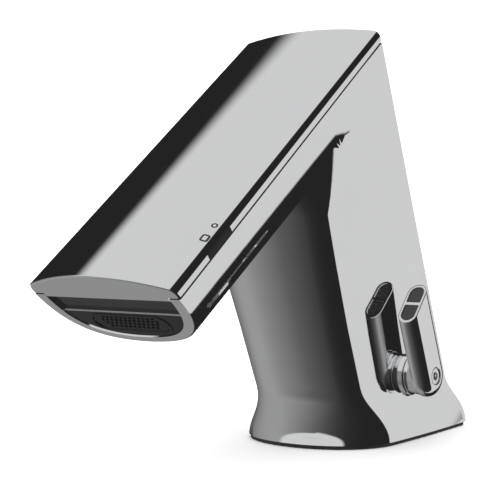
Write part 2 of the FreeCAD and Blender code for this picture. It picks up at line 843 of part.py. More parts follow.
def moving_disc():
    _, fixed_end, moving_end = disc_stations()
    disc = cross(disc_radius(), fixed_end, moving_end)
    slot = rod(1.3, Vec(fixed_end - 1, pivot_y, pivot_z - 2.0), Vec(fixed_end + 1.2, pivot_y, pivot_z - 2.0))
    return disc.cut(slot)


def mixing_spindle():
    moving_end = disc_stations()[2]
    flange = cross(disc_radius(), moving_end, moving_end + spindle_flange)
    stem = cross(spindle_radius, moving_end, stem_end())
    thread = cross(screw_shank_radius, stem_end() - screw_length, stem_end() + 1)
    return flange.fuse(stem).cut(thread).removeSplitter()


def stem_end():
    """The stem stops inside the lever, under the screw head."""
    return lever_outer_x() - screw_head_depth - 0.6


def lever_outer_x():
    return lever_inner_x + lever_thick


def hub_collar():
    """Bonnet that holds the cartridge and carries the spindle."""
    seat = spot_face_x + ring_thick
    threaded = cross(bore_radius - sleeve_clearance, sleeve_outer_x, seat)
    threaded = threaded.cut(cross(bore_radius + 1, spot_face_x, seat))
    neck = cross(ring_inner_radius - 0.1, spot_face_x, seat)
    collar = cross(hub_radius, seat, seat + collar_length)
    bore = cross(spindle_radius + running_clearance, sleeve_outer_x - 1, seat + collar_length + 1)
    return threaded.fuse([neck, collar]).cut(bore).removeSplitter()


def hub_ring():
    ring = cross(hub_radius + 0.2, spot_face_x, spot_face_x + ring_thick)
    return ring.cut(cross(ring_inner_radius, spot_face_x - 1, spot_face_x + ring_thick + 1))


# ---- lever -----------------------------------------------------------------
def lever_frame():
    """Frame at the pivot: z up the lever, x out of the body."""
    return FreeCAD.Placement(Vec(0, pivot_y, pivot_z), FreeCAD.Rotation(X_AXIS, lever_lean))


def lever_cut_frame():
    """Frame on the cut face: z out of it, y up its slope, origin on the lever's middle."""
    centre = lever_frame().multVec(Vec(lever_inner_x + lever_thick / 2, 0, lever_cut_distance))
    return FreeCAD.Placement(centre, FreeCAD.Rotation(X_AXIS, lever_cut_slope))


def lever_bar():
    """Rounded bar from the pivot up past the cut face."""
    reach = lever_cut_distance + 25.0
    strip = box(lever_inner_x, lever_outer_x(), -lever_half_width, lever_half_width, 0, reach)
    foot_round = Part.makeCylinder(lever_half_width, lever_thick, Vec(lever_inner_x, 0, 0), X_AXIS)
    bar = strip.fuse(foot_round).removeSplitter()
    rounded = [edge for edge in bar.Edges
               if abs(edge.BoundBox.XMax - edge.BoundBox.XMin) < 0.01
               and edge.BoundBox.ZMin < reach - 0.5]
    bar = bar.makeFillet(lever_edge_radius, rounded)
    return placed(bar, lever_frame())


def lever_core(inset, depth0, depth1):
    """Oval of the cut face, inset from the rim and run square to the cut."""
    half_long = lever_half_width / math.cos(math.radians(lever_cut_skew())) - inset
    half_short = lever_thick / 2 - inset
    reach = half_long - half_short
    flat = box(-half_short, half_short, -reach, reach, depth0, depth1)
    ends = [Part.makeCylinder(half_short, depth1 - depth0, Vec(0, side * reach, depth0), Z_AXIS)
            for side in (-1, 1)]
    return flat.fuse(ends).removeSplitter()


def lever_cut_skew():
    """Angle between the cut face and a square cut of the lever."""
    return lever_cut_slope - lever_lean


def mixer_lever():
    above_cut = placed(box(-beyond, beyond, -beyond, beyond, 0, beyond), lever_cut_frame())
    lever = lever_bar().cut(above_cut)
    pocket = placed(lever_core(insert_rim, -insert_depth, 1.0), lever_cut_frame())
    bar = placed(box(-lever_thick / 2, lever_thick / 2, -insert_bar / 2, insert_bar / 2,
                     -insert_depth - 0.2, 0), lever_cut_frame())
    lever = lever.cut(pocket.cut(bar))
    boss_start = spot_face_x + ring_thick + collar_length + collar_gap
    middle = (boss_start + lever_inner_x) / 2
    boss_low = Part.makeCone(hub_radius - 0.2, hub_neck_radius, middle - boss_start,
                             Vec(boss_start, pivot_y, pivot_z), X_AXIS)
    boss_high = Part.makeCone(hub_neck_radius, hub_radius - 0.2, lever_inner_x - middle + 3.0,
                              Vec(middle, pivot_y, pivot_z), X_AXIS)
    lever = lever.fuse([boss_low, boss_high])
    stem_bore = cross(spindle_radius + 0.05, boss_start - 1, stem_end())
    shank = cross(screw_shank_radius + 0.2, stem_end() - 1, lever_outer_x() + 1)
    head = cross(screw_head_radius + 0.1, lever_outer_x() - screw_head_depth, lever_outer_x() + 1)
    return lever.cut([stem_bore, shank, head]).removeSplitter()


def lever_insert(upper):
    """One dark half of the indicator in the cut face."""
    core = lever_core(insert_rim + 0.05, -insert_depth, insert_proud - 0.4)
    gap = insert_bar / 2 + 0.05
    half = box(-20, 20, gap, 20, -5, 5) if upper else box(-20, 20, -20, -gap, -5, 5)
    return placed(core.common(half), lever_cut_frame())


def lever_screw():
    head = cross(screw_head_radius, lever_outer_x() - screw_head_depth, lever_outer_x() - 0.3)
    shank = cross(screw_shank_radius, stem_end() - screw_length + 0.5, lever_outer_x() - screw_head_depth)
    turn = FreeCAD.Rotation(Y_AXIS, 90)
    socket = placed(hexagon(screw_socket, 3.0),
                    FreeCAD.Placement(Vec(lever_outer_x() - 1.5, pivot_y, pivot_z), turn))
    return head.fuse(shank).cut(socket).removeSplitter()


# ---- inlets ----------------------------------------------------------------
def upright(x, radius, z0, z1):
    return rod(radius, Vec(x, inlet_y, z0), Vec(x, inlet_y, z1))


def check_valve(x):
    """Non-return valve housing at the top of an inlet port."""
    top = gasket_thick + inlet_depth
    low = top - check_length
    body = upright(x, check_radius - check_clearance, low, top)
    seat = upright(x, check_bore - 1.0, low - 1, top + 1)
    chamber = upright(x, poppet_radius + running_clearance, low + poppet_seat, top - 0.8)
    return body.cut([seat, chamber])


def poppet_low():
    return gasket_thick + inlet_depth - check_length + poppet_seat


def check_poppet(x):
    low = poppet_low()
    return upright(x, poppet_radius, low, low + poppet_length)


def poppet_spring(x):
    low = poppet_low() + poppet_length
    top = gasket_thick + inlet_depth - 0.8
    outer = poppet_radius - 0.3
    return upright(x, outer, low, top).cut(upright(x, outer - 0.4, low, top))


def inlet_filter(x):
    """Fine mesh disc under the check valve."""
    top = gasket_thick + inlet_depth - check_length - filter_gap
    disc = upright(x, check_radius - check_clearance, top - filter_thick, top)
    hole = hexagon(filter_hole_flats, filter_thick + 2.0)
    holes = []
    for row in (-1, 0, 1):
        for k in range(3 - abs(row)):
            across = (k - (2 - abs(row)) / 2) * filter_pitch
            place = Vec(x + across, inlet_y + row * filter_pitch * math.sqrt(3) / 2,
                        top - filter_thick - 1)
            holes.append(placed(hole, FreeCAD.Placement(place, FreeCAD.Rotation())))
    return disc.cut(Part.makeCompound(holes))


# ---- export ----------------------------------------------------------------
def nodes():
    made = {
        "body_shell": body_shell(),
        "base_gasket": base_gasket(),
        "crown_cover": crown_cover(),
        "crown_gasket": crown_gasket(),
        "crown_screw": crown_screw(),
        "sensor_window": sensor_window(),
        "sensor_module": sensor_module(),
        "outlet_panel": outlet_panel(),
        "spray_plate": spray_plate(),
        "spray_chamber": spray_chamber(),
        "outlet_tube": outlet_tube(),
        "valve_body": valve_body(),
        "riser_tube": riser_tube(),
        "diaphragm": diaphragm(),
        "solenoid_base": solenoid_base(),
        "solenoid_coil": solenoid_coil(),
        "solenoid_plunger": solenoid_plunger(),
        "plunger_spring": plunger_spring(),
        "battery": battery(),
        "battery_bracket": battery_bracket(),
        "control_board": control_board(),
        "cartridge_sleeve": cartridge_sleeve(),
        "fixed_disc": fixed_disc(),
        "moving_disc": moving_disc(),
        "mixing_spindle": mixing_spindle(),
        "hub_collar": hub_collar(),
        "hub_ring": hub_ring(),
        "mixer_lever": mixer_lever(),
        "lever_insert_upper": lever_insert(True),
        "lever_insert_lower": lever_insert(False),
        "lever_screw": lever_screw(),
    }
    for name, x in inlet_places().items():
        made["check_valve_" + name] = check_valve(x)
        made["check_poppet_" + name] = check_poppet(x)
        made["poppet_spring_" + name] = poppet_spring(x)
        made["inlet_filter_" + name] = inlet_filter(x)
    return made


def main():
    os.makedirs("parts", exist_ok=True)
    for name, shape in nodes().items():
        solids = shape.Solids
        if not shape.isValid():
            print("not valid:", name)
        if len(solids) != 1:
            print("solids:", name, len(solids))
        whole = solids[0] if len(solids) == 1 else Part.makeCompound(solids)
        print(name, round(whole.Volume, 1))
        whole.exportStep("parts/" + name + ".step")


main()
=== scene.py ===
"""Dressed model of a chromed sensor tap with a side mixing lever."""
import math
import bpy
import bmesh
import numpy as np
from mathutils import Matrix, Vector


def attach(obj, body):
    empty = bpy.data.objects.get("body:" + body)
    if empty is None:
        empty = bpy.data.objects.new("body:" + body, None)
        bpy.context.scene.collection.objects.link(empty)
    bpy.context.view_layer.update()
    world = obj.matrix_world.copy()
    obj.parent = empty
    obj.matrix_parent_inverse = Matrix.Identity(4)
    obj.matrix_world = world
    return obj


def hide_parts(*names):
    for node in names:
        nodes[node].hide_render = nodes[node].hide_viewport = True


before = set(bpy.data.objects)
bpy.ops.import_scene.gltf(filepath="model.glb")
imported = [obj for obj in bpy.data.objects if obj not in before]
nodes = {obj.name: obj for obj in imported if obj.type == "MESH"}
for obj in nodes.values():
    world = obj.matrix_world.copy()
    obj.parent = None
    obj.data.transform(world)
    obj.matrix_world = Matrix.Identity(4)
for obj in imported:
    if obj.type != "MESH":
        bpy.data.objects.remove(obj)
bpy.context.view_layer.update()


# ---- studio ------------------------------------------------------------------
# A white floor without an edge, a large soft light overhead, a grey wall on the
# left and a narrow white panel behind the tap on the right, as for glossy metal.
camera_place = (0.2581, -0.4107, 0.0743)
camera_turn = (math.radians(89.43), 0.0, math.radians(36.84))
camera_lens_mm = 97.3
camera_sensor_mm = 36.0
floor_reach = 6.0
floor_drop = 0.0002
floor_grey = 0.93
overhead_tilt = math.radians(16.2)      # the overhead light leans to the left
overhead_rim = (0.800, 0.865)           # cosines at its soft edge
light_strength = 0.66                   # of the overhead light, side panel and front light
wall_dark, wall_bright = 0.018, 0.337    # strengths of the dark room and of the left wall
wall_end = (-134.0, -120.0)              # azimuths from the spout's side, where the wall begins
wall_back = 0.50                         # its share of full light there
wall_rise = (-125.0, -64.0)              # azimuths over which it grows to full light
wall_peak, wall_spread, wall_power = -52.0, 45.0, 1.55   # from there it fades in a bell curve
wall_top_near, wall_top_far = -12.0, 55.0   # elevations where the wall's shade begins
wall_turn = (-112.0, -88.0)              # azimuths between which that elevation changes
wall_fade = 26.0
wall_side = (-20.0, -70.0)               # that shade is there to the left of these azimuths
wall_lean = (-16.0, -42.0, 25.0)         # low down, the wall's shades begin this much earlier
wall_lean_side = (25.0, 50.0)            # fully so 50 degrees to the left of 25
wall_low = 0.285                         # and it is no brighter than this
panel_sides = (133.5, 136.0, 165.0, 169.0)   # azimuths of the white panel's soft sides
panel_lean = 0.6                         # its far side leans, degrees per degree,
panel_lean_side = (140.0, 160.0)         # from between these azimuths on
panel_top = (17.0, 21.0)                 # elevations of its soft upper edge
front_centre = (-6.0, 46.0)              # the round front light: azimuth and elevation
front_reach = (52.0, 32.0)
front_rim = (0.82, 1.12)
room_strength = 1.6                      # what the camera and the matt surfaces see

scene = bpy.context.scene
scene.view_settings.view_transform = "Standard"

camera_data = bpy.data.cameras.new("camera")
camera_data.lens = camera_lens_mm
camera_data.sensor_width = camera_sensor_mm
camera_data.clip_start = 0.01
camera_data.dof.use_dof = False
camera = bpy.data.objects.new("camera", camera_data)
camera.location = camera_place
camera.rotation_euler = camera_turn
scene.collection.objects.link(camera)
scene.camera = camera


class Graph:
    """Short way to add nodes and links to one node tree."""

    def __init__(self, tree):
        self.tree = tree

    def add(self, kind, inputs=None, **settings):
        node = self.tree.nodes.new(kind)
        for name, value in settings.items():
            setattr(node, name, value)
        for key, value in (inputs or {}).items():
            self.set(node, key, value)
        return node

    def set(self, node, key, value):
        if isinstance(value, bpy.types.NodeSocket):
            self.tree.links.new(value, node.inputs[key])
        else:
            node.inputs[key].default_value = value

    def math(self, operation, *values, clamp=False):
        node = self.add("ShaderNodeMath", dict(enumerate(values)), operation=operation)
        node.use_clamp = clamp
        return node.outputs[0]

    def step(self, value, low, high):
        """0 below low, 1 above high, smooth between."""
        node = self.add("ShaderNodeMapRange", {0: value, 1: low, 2: high, 3: 0.0, 4: 1.0},
                        interpolation_type="SMOOTHSTEP")
        return node.outputs[0]

    def mix(self, share, low, high):
        """Blend of two numbers."""
        return self.math("ADD", self.math("MULTIPLY", low, self.math("SUBTRACT", 1.0, share)),
                         self.math("MULTIPLY", high, share))

    def ramp(self, value, stops):
        """Colour ramp from (place 0 to 1, colour) pairs."""
        node = self.add("ShaderNodeValToRGB", {0: value})
        band = node.color_ramp
        while len(band.elements) > 1:
            band.elements.remove(band.elements[-1])
        band.elements[0].position = stops[0][0]
        band.elements[0].color = stops[0][1]
        for place, colour in stops[1:]:
            band.elements.new(place).color = colour
        return node.outputs[0]


def grey(value):
    return (value, value, value, 1.0)


world = bpy.data.worlds.new("studio")
world.use_nodes = True
scene.world = world
world.node_tree.nodes.clear()
g = Graph(world.node_tree)
direction = g.add("ShaderNodeTexCoord").outputs["Generated"]
parts = g.add("ShaderNodeSeparateXYZ", {0: direction})
dir_x, dir_y, dir_z = parts.outputs
to_degrees = math.degrees(1.0)
azimuth = g.math("MULTIPLY", g.math("ARCTAN2", dir_x, g.math("MULTIPLY", dir_y, -1.0)), to_degrees)
elevation = g.math("MULTIPLY", g.math("ARCSINE", dir_z), to_degrees)
low_down = g.step(elevation, *wall_lean[:2])
ahead = g.math("DIVIDE", g.math("SUBTRACT", wall_lean_side[0], azimuth), wall_lean_side[1], clamp=True)
turned = g.math("ADD", azimuth, g.math("MULTIPLY", g.math("MULTIPLY", low_down, ahead), wall_lean[2]))
rise = g.math("MULTIPLY", g.step(turned, *wall_end), g.mix(g.step(turned, *wall_rise), wall_back, 1.0))
past_peak = g.math("DIVIDE", g.math("MAXIMUM", g.math("SUBTRACT", turned, wall_peak), 0.0), wall_spread)
fall = g.math("EXPONENT", g.math("MULTIPLY", g.math("POWER", past_peak, wall_power), -1.0))
wall = g.mix(g.math("MULTIPLY", rise, fall), wall_dark, wall_bright)
wall = g.math("MINIMUM", wall, g.mix(low_down, 1.0, wall_low))
wall_top = g.mix(g.step(azimuth, *wall_turn), wall_top_near, wall_top_far)
above_wall = g.step(g.math("SUBTRACT", elevation, wall_top), 0.0, wall_fade)
left_side = g.step(azimuth, *wall_side)
studio = g.mix(g.math("MULTIPLY", left_side, above_wall), wall, wall_dark)


def soft_window(value, rise_from, rise_to, fall_from, fall_to):
    """1 between two soft edges, 0 outside them."""
    return g.math("SUBTRACT", g.step(value, rise_from, rise_to), g.step(value, fall_from, fall_to))


leaning = g.math("SUBTRACT", azimuth, g.math("MULTIPLY", g.math("MULTIPLY", elevation, panel_lean),
                                             g.step(azimuth, *panel_lean_side)))
panel = g.math("MULTIPLY", soft_window(leaning, *panel_sides),
               g.math("SUBTRACT", 1.0, g.step(elevation, *panel_top)))
beside_front, above_front = [
    g.math("POWER", g.math("DIVIDE", g.math("SUBTRACT", value, middle), reach), 2.0)
    for value, middle, reach in zip((azimuth, elevation), front_centre, front_reach)]
front = g.step(g.math("ADD", beside_front, above_front), *front_rim[::-1])
overhead = g.math("ADD", g.math("MULTIPLY", dir_x, -math.sin(overhead_tilt)),
                  g.math("MULTIPLY", dir_z, math.cos(overhead_tilt)))
for light in (panel, front, g.step(overhead, *overhead_rim)):
    studio = g.mix(light, studio, light_strength)
path = g.add("ShaderNodeLightPath")
plain = g.math("MAXIMUM", path.outputs["Is Camera Ray"], path.outputs["Is Diffuse Ray"])
strength = g.mix(plain, studio, room_strength)
world.cycles.sampling_method = "NONE"     # so that each ray sees its own studio
background = g.add("ShaderNodeBackground", {"Color": grey(1.0), "Strength": strength})
g.add("ShaderNodeOutputWorld", {"Surface": background.outputs[0]})

floor_mesh = bpy.data.meshes.new("floor")
floor_mesh.from_pydata(
    [(x * floor_reach, y * floor_reach, -floor_drop)
     for x, y in ((-1, -1), (1, -1), (1, 1), (-1, 1))], [], [(0, 1, 2, 3)])
floor = bpy.data.objects.new("floor", floor_mesh)
scene.collection.objects.link(floor)
floor.visible_glossy = False
floor_material = bpy.data.materials.new("floor_paper")
floor_material.use_nodes = True
floor_shader = floor_material.node_tree.nodes["Principled BSDF"]
floor_shader.inputs["Base Color"].default_value = grey(floor_grey)
floor_shader.inputs["Roughness"].default_value = 0.9
floor_shader.inputs["Specular IOR Level"].default_value = 0.0
floor_mesh.materials.append(floor_material)


# ---- body ----------------------------------------------------------------------
# One brass casting with a flared foot, a leaning column and the spout's underside,
# ground, polished and chromed. Its smooth faces take their shading from the same
# sections as the casting, so that reflections run through them without facets.
spout_origin = Vector((0.0, -0.1334, 0.0546))
seam_slope = math.radians(37.7)
hull_half_width = 0.0280
hull_depths = (0.0223, 0.0286)
hull_length = 0.150
hull_merge = 0.100
hull_fullness, hull_merge_fullness = 2.5, 1.5
waist_z = 0.016
column_top_z = 0.146
column_lean = 0.418
column_widths = [(0.016, 0.0212), (0.040, 0.0217), (0.060, 0.0227), (0.078, 0.0239), (0.088, 0.0249),
                 (0.098, 0.0259), (0.108, 0.0268), (0.124, 0.0279), (0.146, 0.0286)]
column_bow = 0.0011
column_fullness = 2.3
column_side_y, column_nose_y = -0.0274, -0.0392   # at the waist: where the round front ends, and its nose
column_back_half, column_back_growth = 0.0216, 0.0069
crotch_z = 0.078
crotch_side, crotch_nose = 0.75, 0.35    # how fast the two part above the crotch
back_foot_y, back_lean = 0.0369, 0.477
back_spare = 0.001
foot_outline = (0.0280, -0.0190, -0.0434, 0.0248, 0.0385, 0.0006)   # as column_section gives them
foot_fullness = 2.1
foot_bottom_z, flare_top_z = 0.0012, 0.020
flare_spare = 0.00002        # how far above the flare's top a face may still belong to it
flare_rise, flare_fade = 1.9, 2.6
foot_lip_z, foot_lip_lift = 0.0056, 0.5
foot_calm = 0.36             # how much of the flare's tilt the polished front keeps
foot_side = (0.93, 0.98)     # where it faces sideways this much, the foot is shaded flat,
foot_side_calm = 0.9         # as the column is, with this share of its tilt gone
front_from, front_soft = 0.35, 0.3   # how far a face turns ahead before it counts as the front
run_out = (0.092, 0.110)     # how far up the spout its side turns into the column's side
end_lean = seam_slope + math.radians(14.5)
end_facing = (0.0, -math.cos(end_lean), -math.sin(end_lean))
seam_facing = (0.0, -math.sin(seam_slope), math.cos(seam_slope))
end_bevel_depth = 0.0014
end_bevel_turn = (0.35, 0.97)    # how far a bevel round the end turns to it, as cosines
seam_depth = 0.0006
seam_flat = 0.97             # cosine of the faces that lie along the seam
merge_reach = 1e-7
halvings = 46                # of the search along an oval's quarter
off_corner = 1e-7            # keeps that search off the quarter's end on the hull,
off_side = 1e-9              # and on the column and foot
smallest = 1e-9
on_surface = 0.0005          # how near a face lies to a section's surface to belong to it
belongs_cosine = math.cos(math.radians(24))


def spout_coordinates(points):
    """Points in the spout's frame: across, up the seam, square to the seam."""
    moved = points - np.array(spout_origin)
    c, s = math.cos(seam_slope), math.sin(seam_slope)
    return np.stack([moved[:, 0], c * moved[:, 1] + s * moved[:, 2],
                     -s * moved[:, 1] + c * moved[:, 2]], axis=1)


def handle_of(exponent):
    """Length of a quarter's handles that makes it pass through such a superellipse."""
    return (8 * 2 ** (-1 / exponent) - 4) / 3


def rounded(across, along, half_width, depth, handle_wide, handle_deep):
    """Below 0 inside a quarter of an oval drawn with two handles, above 0 outside."""
    a, b = np.abs(across / half_width), np.abs(along / depth)
    low, high = np.zeros_like(a), np.ones_like(a)
    for _ in range(halvings):
        t = (low + high) / 2
        r = 1 - t
        on_a = r**3 + 3 * r**2 * t + 3 * r * t**2 * handle_wide
        on_b = 3 * r**2 * t * handle_deep + 3 * r * t**2 + t**3
        past = on_b * a > on_a * b
        high = np.where(past, t, high)
        low = np.where(past, low, t)
    return np.hypot(a, b) / np.hypot(on_a, on_b) - 1.0


def hull_field(points):
    u, s, v = spout_coordinates(points).T
    depth = hull_depths[0] + (hull_depths[1] - hull_depths[0]) * s / hull_length
    merge_depth = hull_depths[0] + (hull_depths[1] - hull_depths[0]) * hull_merge / hull_length
    late = np.clip((s - hull_merge) / (hull_length - hull_merge), 0.0, 1.0)
    full, slack = handle_of(hull_fullness), handle_of(hull_merge_fullness)
    wide = full + (slack - full) * late
    late_deep = (full * merge_depth * (1 - late) + slack * hull_depths[1] * late) / depth
    deep = np.where(late > 0, late_deep, full)
    return rounded(u, np.minimum(v, -off_corner), hull_half_width, depth, wide, deep)


def level_field(points, half, tangent_y, front_y, back_half, back_y, bow, exponent):
    """Column or foot section: rounded front, bowed sides that run to the flat back."""
    x, y = points[:, 0], points[:, 1]
    handle = handle_of(exponent)
    front = rounded(x, np.minimum(y - tangent_y, -off_side), half, tangent_y - front_y, handle, handle)
    along = np.clip((y - tangent_y) / (back_y - tangent_y), 0.0, 1.0)
    side = half + (back_half - half) * along + 4 * bow * along * (1 - along)
    return np.where(y < tangent_y, front, np.abs(x) / side - 1.0)


def column_section(z):
    """Half width, y of the side's front end, y of the nose, half width and y of the back, bow of the side."""
    share = np.maximum(0.0, z - waist_z) / (column_top_z - waist_z)
    above = np.maximum(0.0, z - crotch_z)
    straight = column_lean * (z - waist_z)
    return (np.interp(z, *zip(*column_widths)), column_side_y - straight + crotch_side * above,
            column_nose_y - straight - crotch_nose * above, column_back_half + column_back_growth * share,
            back_foot_y - back_lean * z, column_bow * (1 - share))


def column_field(points):
    half, tangent_y, front_y, back_half, back_y, bow = column_section(points[:, 2])
    return level_field(points, half, tangent_y, front_y, back_half, back_y + back_spare, bow,
                       column_fullness)


def foot_field(points):
    height = np.clip((points[:, 2] - foot_bottom_z) / (flare_top_z - foot_bottom_z), 0.0, 1.0)
    flare = (1 - height ** flare_rise) ** flare_fade
    section = [upper + (lower - upper) * flare
               for upper, lower in zip(column_section(points[:, 2]), foot_outline)]
    shape = level_field(points, *section, column_fullness + (foot_fullness - column_fullness) * flare)
    return np.where(points[:, 2] < flare_top_z + flare_spare, shape, 1.0)


def turned_ahead(facing):
    """1 for faces at the front, 0 for those at the sides and the back."""
    return np.clip((-facing[:, 1] - front_from) / front_soft, 0.0, 1.0)


def lip_lift(points, facing):
    """How far the foot's front leans back in its lowest few millimetres, as its rim turns out."""
    low = np.clip((foot_lip_z - points[:, 2]) / (foot_lip_z - foot_bottom_z), 0.0, 1.0)
    return foot_lip_lift * low * turned_ahead(facing)


def gradient(field, points, reach=2e-6):
    """Unit normal of a field and the distance to its zero."""
    sides = []
    for axis in np.eye(3) * reach:
        sides.append((field(points + axis) - field(points - axis)) / (2 * reach))
    slope = np.stack(sides, axis=1)
    size = np.maximum(np.linalg.norm(slope, axis=1, keepdims=True), smallest)
    return slope / size, field(points) / size[:, 0]


def facing_of(field, points):
    """Normals to shade with: the field's own, with two soft transitions that a cast body has."""
    facing, _ = gradient(field, points)
    if field is hull_field:         # the spout's side runs out into the column's side
        _, s, _ = spout_coordinates(points).T
        late = np.clip((s - run_out[0]) / (run_out[1] - run_out[0]), 0.0, 1.0)[:, None]
        facing = facing * (1 - late) + gradient(column_field, points)[0] * late
    if field is foot_field:         # the foot's front is calm down to its rim, its sides are flat
        sideways = np.abs(facing[:, 0]) / np.hypot(facing[:, 0], facing[:, 1])
        beside = np.clip((sideways - foot_side[0]) / (foot_side[1] - foot_side[0]), 0.0, 1.0)
        tilt = np.maximum(facing[:, 2], 0.0)
        facing[:, 2] -= tilt * np.maximum((1 - foot_calm) * turned_ahead(facing), foot_side_calm * beside)
        facing[:, 2] += lip_lift(points, facing)
    return facing / np.linalg.norm(facing, axis=1, keepdims=True)


def belongs_to(field, centres, face_normals):
    facing, distance = gradient(field, centres)
    return (np.abs(distance) < on_surface) & ((facing * face_normals).sum(axis=1) > belongs_cosine)


def merge_corners(mesh):
    """Join the loose triangles of a CAD node's copy where their corners meet."""
    shell = bmesh.new()
    shell.from_mesh(mesh)
    bmesh.ops.remove_doubles(shell, verts=shell.verts, dist=merge_reach)
    shell.to_mesh(mesh)
    shell.free()


def rows_of(items, name, width, kind=float):
    """One property of all items of a mesh, a row for each."""
    flat = np.empty(len(items) * width, kind)
    items.foreach_get(name, flat)
    return flat.reshape(-1, width)


def smooth_copy(node_name, fields, sharp_angle=30.0):
    """Copy of a CAD node with shared vertices, its normals taken from smooth fields."""
    mesh = nodes[node_name].data.copy()
    mesh.name = node_name + "_skin"
    mesh.materials.clear()
    merge_corners(mesh)
    if "custom_normal" in mesh.attributes:
        mesh.attributes.remove(mesh.attributes["custom_normal"])
    mesh.shade_smooth()
    mesh.set_sharp_from_angle(angle=math.radians(sharp_angle))
    normals = rows_of(mesh.corner_normals, "vector", 3, np.float32).astype(float)
    places = rows_of(mesh.vertices, "co", 3)
    face_normals = rows_of(mesh.polygons, "normal", 3)
    corners = rows_of(mesh.loops, "vertex_index", 1, int).reshape(-1, 3)
    centres = places[corners].mean(axis=1)
    done = np.zeros(len(mesh.polygons), bool)
    for field in fields:
        belongs = belongs_to(field, centres, face_normals) & ~done
        done |= belongs
        for corner in range(3):
            loops = np.nonzero(belongs)[0] * 3 + corner
            normals[loops] = facing_of(field, places[corners[belongs, corner]])
    turned_to_end = face_normals @ np.array(end_facing)
    bevelled = ~done & (turned_to_end > end_bevel_turn[0]) & (turned_to_end < end_bevel_turn[1])
    bevelled &= (centres - np.array(spout_origin)) @ np.array(end_facing) > -end_bevel_depth
    for corner in range(3):         # a bevel round the end is shaded as a rounded edge
        facing, distance = gradient(fields[0], places[corners[bevelled, corner]])
        outer = (np.abs(distance) < on_surface)[:, None]
        normals[np.nonzero(bevelled)[0] * 3 + corner] = np.where(outer, facing, np.array(end_facing))
    along_seam = np.abs(face_normals @ np.array(seam_facing)) > seam_flat
    in_seam = along_seam & ~done & (np.abs(spout_coordinates(centres)[:, 2]) < seam_depth)
    mesh.polygons.foreach_set("material_index", in_seam.astype(np.int32))
    mesh.normals_split_custom_set(normals.astype(np.float32))
    skin = bpy.data.objects.new(node_name + "_skin", mesh)
    scene.collection.objects.link(skin)
    return skin


fine_ratio, fine_share = 14.0, 0.3   # of the fine marks, against the broad ones
mark_range = (0.2, 0.8)              # of the mask, over which the colour changes
edge_samples = 8


def wear_group():
    """Shared effect: fine uneven polish and faint hand marks, as a 0 to 1 mask."""
    tree = bpy.data.node_groups.new("handling_marks", "ShaderNodeTree")
    tree.interface.new_socket("Size", in_out="INPUT", socket_type="NodeSocketFloat")
    tree.interface.new_socket("Contrast", in_out="INPUT", socket_type="NodeSocketFloat")
    tree.interface.new_socket("Mask", in_out="OUTPUT", socket_type="NodeSocketFloat")
    w = Graph(tree)
    entry = w.add("NodeGroupInput")
    place = w.add("ShaderNodeTexCoord").outputs["Object"]
    broad = w.add("ShaderNodeTexNoise", {"Vector": place, "Scale": entry.outputs["Size"], "Detail": 5.0,
                                          "Roughness": 0.6, "Distortion": 0.6})
    fine_size = w.math("MULTIPLY", entry.outputs["Size"], fine_ratio)
    fine = w.add("ShaderNodeTexNoise", {"Vector": place, "Detail": 2.0, "Scale": fine_size})
    blend = w.mix(fine_share, broad.outputs["Fac"], fine.outputs["Fac"])
    spread = w.math("MULTIPLY", w.math("SUBTRACT", blend, 0.5), entry.outputs["Contrast"])
    leave = w.add("NodeGroupOutput")
    w.set(leave, "Mask", w.math("ADD", spread, 0.5, clamp=True))
    return tree


handling_marks = wear_group()


def principled(name, colour, roughness, metallic=0.0, marks=(60.0, 1.6), colour_range=0.06,
               roughness_range=0.3, bump=0.0, bump_size=900.0, edge=0.0, **extra):
    """Material with the shared marks in its colour and roughness, and a fine grain in its bump."""
    material = bpy.data.materials.new(name)
    material.use_nodes = True
    tree = material.node_tree
    m = Graph(tree)
    shader = tree.nodes["Principled BSDF"]
    worn = m.add("ShaderNodeGroup", node_tree=handling_marks)
    m.set(worn, "Size", marks[0])
    m.set(worn, "Contrast", marks[1])
    mask = worn.outputs["Mask"]
    dark = tuple(c * (1 - colour_range) for c in colour) + (1.0,)
    light = tuple(min(1.0, c * (1 + colour_range)) for c in colour) + (1.0,)
    m.set(shader, "Base Color", m.ramp(mask, list(zip(mark_range, (dark, light)))))
    m.set(shader, "Roughness", m.mix(mask, roughness * (1 - roughness_range),
                                     roughness * (1 + roughness_range)))
    shader.inputs["Metallic"].default_value = metallic
    for key, value in extra.items():
        shader.inputs[key.replace("_", " ")].default_value = value
    normal = None
    if edge:
        normal = m.add("ShaderNodeBevel", {"Radius": edge}, samples=edge_samples).outputs[0]
    if bump:
        place = m.add("ShaderNodeTexCoord").outputs["Object"]
        grain = m.add("ShaderNodeTexNoise", {"Vector": place, "Scale": bump_size, "Detail": 3.0})
        relief = m.add("ShaderNodeBump", {"Height": grain.outputs["Fac"], "Strength": 1.0,
                                           "Distance": bump})
        if normal is not None:
            m.set(relief, "Normal", normal)
        normal = relief.outputs[0]
    if normal is not None:
        m.set(shader, "Normal", normal)
    return material


chrome_look = dict(metallic=1.0, marks=(45.0, 1.5), colour_range=0.012, roughness_range=0.35)
chrome = principled("polished_chrome", (0.90, 0.905, 0.915), 0.045, **chrome_look)


def dress(obj, *materials):
    """Give an object its materials; clearing an empty list would lose its faces' own numbers."""
    if obj.data.materials:
        obj.data.materials.clear()
    for material in materials:
        obj.data.materials.append(material)


seam_shadow = principled("seam_shadow", (0.012, 0.012, 0.012), 0.7, marks=(300.0, 1.0))
body = smooth_copy("body_shell", [hull_field, foot_field, column_field])
dress(body, chrome, seam_shadow)
body.visible_glossy = False     # the studio's lights reach every face, as if from cards held close
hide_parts("body_shell")
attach(body, "tap_body")


